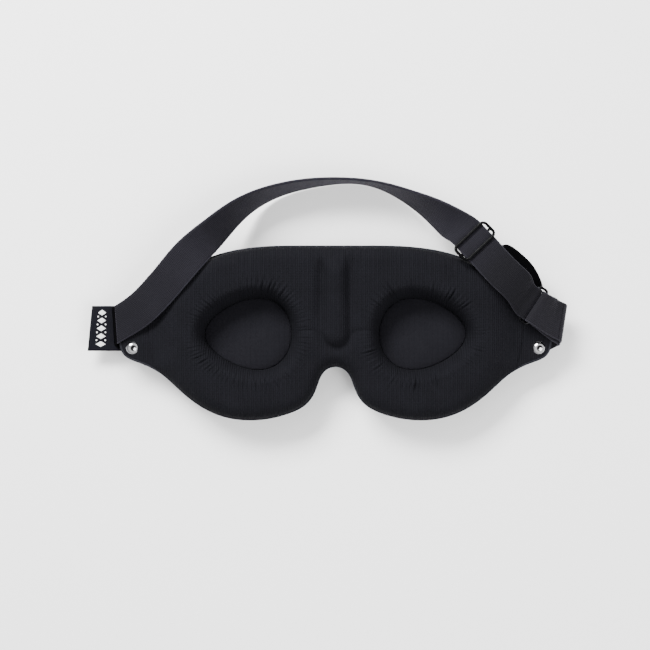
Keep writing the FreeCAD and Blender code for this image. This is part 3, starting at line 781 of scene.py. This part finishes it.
def label_motif():
    """A plain woven column of lozenges with small dots between them, in raised white thread."""
    low = in_mm(label_low)
    high = in_mm(label_high)
    middle_x = low.x + MOTIF_INSET
    margin = MOTIF_MARGIN
    span = high.y - low.y - 2 * margin
    vertices = []
    faces = []

    def thread(x, y, half_x, half_y, corners):
        """A small raised shape with a bevelled top."""
        start = len(vertices)
        for grow, rise in ((1.0, -0.15), (0.97, 0.07), (0.75, 0.12)):
            for k in range(corners):
                angle = 2 * math.pi * k / corners
                at_x = x + half_x * grow * math.cos(angle)
                at_y = y + half_y * grow * math.sin(angle)
                vertices.append((at_x + lean(at_x, at_y), at_y, high.z + label_wave(at_x, at_y) + rise))
        for ring in range(2):
            for k in range(corners):
                a = start + ring * corners + k
                b = start + ring * corners + (k + 1) % corners
                faces.append((a, b, b + corners, a + corners))
        faces.append(tuple(start + 2 * corners + k for k in range(corners)))

    count = 5
    for i in range(count):
        y = low.y + margin + span * (i + 0.5) / count
        thread(middle_x, y, 2.6, 1.6, 4)
        if i < count - 1:
            for side in (-1, 1):
                thread(middle_x + side * 2.3, y + span / count / 2, 0.45, 0.45, 12)
    return add_mesh("label_motif", in_row(vertices), faces)


# ---------------------------------------------------------------- materials


class Shader:
    """A principled material and the nodes that vary its colour and raise its weave."""

    def __init__(self, name, roughness, metallic=0.0, sheen=0.0, specular=0.5):
        self.material = bpy.data.materials.new(name)
        self.material.use_nodes = True
        self.tree = self.material.node_tree
        self.surface = self.tree.nodes["Principled BSDF"]
        self.surface.inputs["Roughness"].default_value = roughness
        self.surface.inputs["Metallic"].default_value = metallic
        self.surface.inputs["Sheen Weight"].default_value = sheen
        self.surface.inputs["Sheen Roughness"].default_value = 0.45
        self.surface.inputs["Sheen Tint"].default_value = (0.86, 0.82, 1.0, 1.0)
        self.surface.inputs["Specular IOR Level"].default_value = specular
        self.place = None

    def node(self, kind, **inputs):
        """A new node.  An input is given by its name, or as i and its number, and is linked or set."""
        made = self.tree.nodes.new(kind)
        for key, value in inputs.items():
            socket = made.inputs[int(key[1:])] if key[0] == "i" and key[1:].isdigit() else made.inputs[key]
            if isinstance(value, bpy.types.NodeSocket):
                self.tree.links.new(value, socket)
            else:
                socket.default_value = value
        return made

    def maths(self, operation, first, second=0.0):
        """The result of one sum on one or two values."""
        made = self.node("ShaderNodeMath", i0=first, i1=second)
        made.operation = operation
        return made.outputs[0]

    def scaled(self, value, by, plus):
        """value times by, plus a number."""
        made = self.node("ShaderNodeMath", i0=value, i1=by, i2=plus)
        made.operation = "MULTIPLY_ADD"
        return made.outputs[0]

    def mixed(self, *shares):
        """The sum of values, each times its share."""
        total = None
        for value, share in shares:
            term = self.maths("MULTIPLY", value, share)
            total = term if total is None else self.maths("ADD", total, term)
        return total

    def along(self, axis, source="UV"):
        """The place along an axis in metres: of the weave, or of the object."""
        if self.place is None:
            coordinate = self.tree.nodes.new("ShaderNodeTexCoord")
            self.place = coordinate.outputs[source]
            split = self.node("ShaderNodeSeparateXYZ", i0=self.place)
            self.axes = {"x": split.outputs[0], "y": split.outputs[1], "z": split.outputs[2]}
        return self.axes[axis]

    def ribs(self, axis, pitch, shift=0.0, source="UV"):
        """Rounded ribs, 0 to 1, one to a pitch in metres."""
        phase = self.scaled(self.along(axis, source), 2 * math.pi / pitch, shift)
        return self.scaled(self.maths("SINE", phase), 0.5, 0.5)

    def noise(self, scale, detail=4.0, source="UV"):
        """Soft uneven patches, scale of them to a metre."""
        self.along("x", source)
        made = self.node("ShaderNodeTexNoise", Vector=self.place, Scale=scale, Detail=detail)
        return made.outputs["Fac"]

    def fade(self, axis, low, high):
        """0 up to low and 1 from high on, by the place along an axis."""
        made = self.node("ShaderNodeMapRange", i0=self.along(axis), i1=low, i2=high)
        return made.outputs[0]

    def colour(self, factor, dark, light):
        """The base colour, from dark at 0 to light at 1."""
        ramp = self.node("ShaderNodeMix")
        ramp.data_type = "RGBA"
        self.tree.links.new(factor, ramp.inputs["Factor"])
        ramp.inputs["A"].default_value = (*dark, 1)
        ramp.inputs["B"].default_value = (*light, 1)
        self.tree.links.new(ramp.outputs["Result"], self.surface.inputs["Base Color"])

    def raised(self, height, distance, strength=1.0):
        """Relief, with distance in metres from its lowest to its highest."""
        bump_node = self.node("ShaderNodeBump", Height=height, Strength=strength, Distance=distance)
        self.tree.links.new(bump_node.outputs["Normal"], self.surface.inputs["Normal"])

    def rough(self, factor, low, high):
        """The roughness, from low at 0 to high at 1."""
        spread = self.scaled(factor, high - low, low)
        self.tree.links.new(spread, self.surface.inputs["Roughness"])


def knit_material(name, dark, light, wale, course, rib, sheen, ribbed=1.1):
    """A fine knit: columns of loops, with soft wider ribs and a slight nap."""
    shader = Shader(name, 0.9, sheen=sheen, specular=0.05)
    loops = shader.maths("MULTIPLY", shader.ribs("x", wale), shader.ribs("y", course))
    ribs = shader.ribs("x", rib)
    nap = shader.noise(2600, 3)
    cloud = shader.noise(90, 5)
    uneven = shader.noise(420, 3)
    ribs = shader.maths("MULTIPLY", ribs, uneven)
    height = shader.mixed((loops, 0.4), (ribs, ribbed), (nap, 0.55))
    shade = shader.mixed((height, 0.4), (cloud, 0.5))
    shader.colour(shade, dark, light)
    shader.raised(height, 0.00034)
    shader.rough(cloud, 0.78, 0.95)
    return shader.material


# The painted highlight along the strap's edges starts this far from its middle, in metres.
EDGE_HIGHLIGHT = 0.0088


def elastic_material(name, dark, light, sheen=0.09, specular=0.07, shaded_from=None):
    """Woven elastic: cords of rubber along its length, crossed by close weft threads.  Given a
    length in metres, painted light makes it paler over the arch, and painted shade makes it darker from
    that length on."""
    shader = Shader(name, 0.75, sheen=sheen, specular=specular)
    weft = shader.ribs("x", 0.0007)
    cords = shader.ribs("y", 0.0009)
    offset = shader.ribs("x", 0.0014, 1.57)
    crossed = shader.maths("MULTIPLY", weft, cords)
    fuzz = shader.noise(1900, 4)
    cloud = shader.noise(60, 4)
    height = shader.mixed((crossed, 0.75), (cords, 0.12), (offset, 0.15), (fuzz, 0.6))
    # Painted highlight: a paler band along both edges of the strap.
    edge_highlight = shader.maths("GREATER_THAN", shader.maths("ABSOLUTE", shader.along("y")), EDGE_HIGHLIGHT)
    shade = shader.mixed((height, 0.45), (cloud, 0.3), (edge_highlight, 0.55))
    if shaded_from is not None:
        # Painted light over the arch, and painted shade on the strap from the given length on.
        arch = shader.scaled(shader.fade("x", 0.01, 0.07), 0.5, 0.75)
        doubled = shader.maths("MULTIPLY", shader.fade("x", shaded_from, shaded_from + 0.025), 0.9)
        shade = shader.maths("MULTIPLY", shade, shader.maths("SUBTRACT", arch, doubled))
    shader.colour(shade, dark, light)
    shader.raised(height, 0.00024)
    shader.rough(fuzz, 0.6, 0.85)
    return shader.material


def satin_material(name, dark, light):
    """Close satin weave with a low lustre."""
    shader = Shader(name, 0.6, sheen=0.0, specular=0.06)
    warp = shader.ribs("y", 0.00034)
    weft = shader.ribs("x", 0.0007)
    twill = shader.maths("MULTIPLY", warp, weft)
    cloud = shader.noise(300, 4)
    height = shader.mixed((twill, 0.5), (warp, 0.5))
    shader.colour(shader.mixed((height, 0.4), (cloud, 0.5)), dark, light)
    shader.raised(height, 0.00006)
    shader.rough(cloud, 0.5, 0.7)
    return shader.material


def thread_material(name, dark, light):
    """Raised thread, wound side by side."""
    shader = Shader(name, 0.6, sheen=0.3, specular=0.4)
    strands = shader.ribs("y", 0.00036, source="Object")
    fuzz = shader.noise(2500, 3, source="Object")
    height = shader.mixed((strands, 0.8), (fuzz, 0.3))
    shader.colour(height, dark, light)
    shader.raised(height, 0.00008)
    return shader.material


def metal_material(name, dark, light, roughness, metallic, specular=0.5):
    """Plated or enamelled metal, with fine scratches and handling marks in its gloss."""
    shader = Shader(name, roughness, metallic=metallic, specular=specular)
    marks = shader.noise(900, 6, source="Object")
    patches = shader.noise(160, 4, source="Object")
    shader.colour(patches, dark, light)
    shader.raised(marks, 0.00001, 0.4)
    shader.rough(marks, roughness * 0.75, roughness * 1.35)
    return shader.material


# The main strap's length from its left fold to the slider, in metres, less a little.
STRAP_TO_SLIDER = 0.236

LINING = knit_material(
    "black_lining_knit",
    dark=(0.0018, 0.0018, 0.0026),
    light=(0.0073, 0.0073, 0.0094),
    wale=0.0008,
    course=0.0009,
    rib=0.0012,
    sheen=0.0,
)
# Paler than the lining: partly the cover's own tone, partly painted highlight for the thin light line
# along its rim lip.
COVER = knit_material(
    "black_cover_knit",
    dark=(0.006, 0.0062, 0.008),
    light=(0.02, 0.0205, 0.025),
    wale=0.0007,
    course=0.0008,
    rib=0.0028,
    sheen=0.05,
)
# Paler than the lining: partly the disc's own charcoal tone, partly painted light that offsets the shade
# deep in the cup.
DISC = knit_material(
    "charcoal_disc_knit_painted_light",
    dark=(0.0046, 0.0045, 0.006),
    light=(0.0102, 0.01, 0.0128),
    wale=0.0007,
    course=0.0007,
    rib=0.0009,
    sheen=0.0,
    ribbed=0.25,
)
# The main strap: painted light over its arch, and painted shade from just before the slider on.
ELASTIC = elastic_material(
    "black_elastic",
    dark=(0.0006, 0.0006, 0.001),
    light=(0.0125, 0.0117, 0.0165),
    shaded_from=STRAP_TO_SLIDER,
)
SEWN_ELASTIC = elastic_material(
    "sewn_elastic_weave",
    dark=(0.0006, 0.0006, 0.001),
    light=(0.007, 0.0066, 0.009),
)
# A darker copy of the elastic, without sheen or gloss: painted shade for the lower layer and the left
# fold.
SHADED_ELASTIC = elastic_material(
    "black_elastic_painted_shade",
    dark=(0.0005, 0.0005, 0.0006),
    light=(0.003, 0.0029, 0.0034),
    sheen=0.0,
    specular=0.0,
)
SHORT_ELASTIC = elastic_material(
    "charcoal_elastic",
    dark=(0.0007, 0.0007, 0.001),
    light=(0.0122, 0.0115, 0.0152),
)
SATIN = satin_material("navy_satin", dark=(0.0009, 0.0009, 0.0022), light=(0.0036, 0.0034, 0.0068))
THREAD = thread_material("white_thread", dark=(0.5, 0.5, 0.5), light=(0.86, 0.86, 0.86))
BLACK_METAL = metal_material(
    "black_enamel",
    dark=(0.001, 0.001, 0.0012),
    light=(0.0022, 0.0022, 0.0025),
    roughness=0.2,
    metallic=0.0,
    specular=0.04,
)
GUNMETAL = metal_material(
    "gunmetal_plate",
    dark=(0.006, 0.006, 0.0066),
    light=(0.02, 0.02, 0.022),
    roughness=0.22,
    metallic=1.0,
)
CHROME = metal_material(
    "polished_nickel",
    dark=(0.3, 0.3, 0.31),
    light=(0.42, 0.42, 0.43),
    roughness=0.08,
    metallic=1.0,
)


def dress(piece, material):
    """Gives a new piece its material."""
    piece.data.materials.append(material)
    return piece


# ---------------------------------------------------------------- assembly


lining = dress(face_lining(), LINING)
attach(lining, "mask")
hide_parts("face_lining", "foam_pad", "nose_ridge_foam")

cover = dress(front_cover(), COVER)
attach(cover, "mask")
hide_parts("front_cover", "front_shell_foam")

for side, word in ((-1, "left"), (1, "right")):
    disc = dress(eye_disc(side), DISC)
    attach(disc, "mask")
    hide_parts(f"{word}_eye_disc")

# The left fold is given the elastic's painted shade.
left_end = dress(strap_end("left_elastic_end", LEFT_FOLD), SHADED_ELASTIC)
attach(left_end, "mask")
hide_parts("left_strap_end")
for word, fold in RIGHT_FOLDS.items():
    end = dress(strap_end(f"right_elastic_{word}", fold), SHORT_ELASTIC)
    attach(end, "mask")
    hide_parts(f"right_strap_end_{word}")

strap = dress(main_strap(), ELASTIC)
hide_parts("main_strap", "adjuster_strap", "ring_end_strap")
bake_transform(strap)
short = dress(short_strap(), SHORT_ELASTIC)
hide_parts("short_strap")
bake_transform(short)

# The lower layer is given the elastic's painted shade.
lower = dress(strap_return(), SHADED_ELASTIC)
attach(lower, "strap")
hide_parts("strap_return")
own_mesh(lower)

sewn = dress(sewn_end(), SEWN_ELASTIC)
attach(sewn, "slider")
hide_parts("strap_sewn_end")

tag = dress(label(), SATIN)
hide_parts("side_label", "label_root")
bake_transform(tag)
motif = dress(label_motif(), THREAD)
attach(motif, "label")

# The metal parts are the CAD nodes themselves, each with one material.
METALS = {f"{word}_rivet_{part}": CHROME for word in ("left", "right") for part in ("cap", "post", "back")}
METALS["slider_frame"] = BLACK_METAL
METALS["ring_frame"] = GUNMETAL
for name, metal in METALS.items():
    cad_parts[name].material_slots[0].material = metal

# ---------------------------------------------------------------- stage

FLOOR = 3.0
floor_corners = [(-FLOOR, -FLOOR, 0), (FLOOR, -FLOOR, 0), (FLOOR, FLOOR, 0), (-FLOOR, FLOOR, 0)]
floor_mesh = bpy.data.meshes.new("floor")
floor_mesh.from_pydata(floor_corners, [], [(0, 1, 2, 3)])
floor = bpy.data.objects.new("floor", floor_mesh)
bpy.context.scene.collection.objects.link(floor)
# Just below the mask, so that the two surfaces don't meet.
floor.location.z = -0.0003
paper = bpy.data.materials.new("pale_paper")
paper.use_nodes = True
paper_surface = paper.node_tree.nodes["Principled BSDF"]
paper_surface.inputs["Base Color"].default_value = (0.93, 0.93, 0.93, 1)
paper_surface.inputs["Roughness"].default_value = 0.9
floor_mesh.materials.append(paper)

world = bpy.data.worlds.new("studio")
bpy.context.scene.world = world
world.use_nodes = True
sky = world.node_tree.nodes
links = world.node_tree.links
direction = sky.new("ShaderNodeTexCoord")
lean_to_side = sky.new("ShaderNodeVectorMath")
lean_to_side.operation = "DOT_PRODUCT"
lean_to_side.inputs[1].default_value = Vector((0.3, -0.1, 1)).normalized()
ramp = sky.new("ShaderNodeValToRGB")
links.new(direction.outputs["Generated"], lean_to_side.inputs[0])
links.new(lean_to_side.outputs["Value"], ramp.inputs[0])
links.new(ramp.outputs[0], sky["Background"].inputs["Color"])
# Bright all round, dimmer at the horizon, and with a dark patch overhead, where the camera hangs.
ramp.color_ramp.elements[0].position = 0.0
ramp.color_ramp.elements[0].color = (0.35, 0.35, 0.36, 1)
ramp.color_ramp.elements[1].position = 0.9
ramp.color_ramp.elements[1].color = (0.02, 0.02, 0.02, 1)
for position, level in ((0.3, 0.7), (0.5, 1.1), (0.7, 1.1), (0.8, 0.06)):
    stop = ramp.color_ramp.elements.new(position)
    stop.color = (level, level, level, 1)
sky["Background"].inputs["Strength"].default_value = 1.75


def softbox(name, location, target, size, power):
    """A rectangular area light that faces its target."""
    light = bpy.data.lights.new(name, "AREA")
    light.shape = "RECTANGLE"
    light.size, light.size_y = size
    light.energy = power
    lamp = bpy.data.objects.new(name, light)
    bpy.context.scene.collection.objects.link(lamp)
    lamp.location = location
    lamp.rotation_euler = (Vector(target) - Vector(location)).to_track_quat("-Z", "Y").to_euler()


softbox("key", (-0.55, 0.9, 0.8), (0, 0, 0), (0.8, 0.4), 62)
softbox("fill", (0.8, -0.5, 1.2), (0, 0, 0), (1.0, 1.0), 27)

# The square picture takes in this much of the plane that the mask's face is in, in metres.
VIEW_WIDTH = 0.358
VIEW_DISTANCE = 0.9
camera = bpy.data.cameras.new("camera")
camera.sensor_width = 36
camera.lens = 36 * VIEW_DISTANCE / VIEW_WIDTH
eye = bpy.data.objects.new("camera", camera)
bpy.context.scene.collection.objects.link(eye)
eye.location = place(-5.8, 5.0, 15) + Vector((0, 0, VIEW_DISTANCE))
bpy.context.scene.camera = eye
